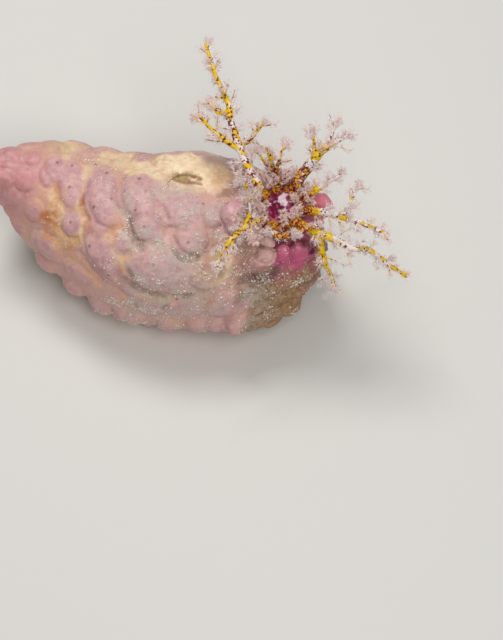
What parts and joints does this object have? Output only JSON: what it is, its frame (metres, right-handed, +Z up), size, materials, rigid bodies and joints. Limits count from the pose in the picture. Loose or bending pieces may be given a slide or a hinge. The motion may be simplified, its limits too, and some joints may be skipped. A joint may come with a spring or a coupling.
{
  "type": "sea cucumber",
  "caption": "Plump warty sea cucumber at life size, resting on its tube feet with its tail turned up and its branched feeding tentacles spread.",
  "frame": {"origin": "bottom centre of the whole animal's box, on the plane that the tube feet stand on", "axes": "+X towards the head end, +Y towards the far flank, +Z up; the animal is seen in the picture from the -Y side and from above"},
  "size_m": [0.1136, 0.0672, 0.0578],
  "materials": {
    "skin": "moist lilac-pink warts with cream to peach furrows",
    "tail_skin": "moist salmon pink",
    "collar_skin": "moist pink to magenta lobes over olive-tan skin",
    "introvert": "wet crimson",
    "tentacle": "translucent white with yellow patches and dark red spots"
  },
  "bodies": {
    "root": {"collar": "collar_skin", "introvert": "introvert", "tail": "tail_skin", "tentacle_10": "tentacle", "tentacle_1_base": "tentacle", "tentacle_1_middle": "tentacle", "tentacle_1_tip": "tentacle", "tentacle_2_base": "tentacle", "tentacle_2_tip": "tentacle", "tentacle_3_base": "tentacle", "tentacle_3_tip": "tentacle", "tentacle_4_base": "tentacle", "tentacle_4_tip": "tentacle", "tentacle_5_base": "tentacle", "tentacle_5_tip": "tentacle", "tentacle_6_base": "tentacle", "tentacle_6_middle": "tentacle", "tentacle_6_tip": "tentacle", "tentacle_7": "tentacle", "tentacle_8_base": "tentacle", "tentacle_8_tip": "tentacle", "tentacle_9_base": "tentacle", "tentacle_9_tip": "tentacle", "trunk_front": "skin", "trunk_middle": "skin", "trunk_rear": "skin"}
  },
  "joints": []
}
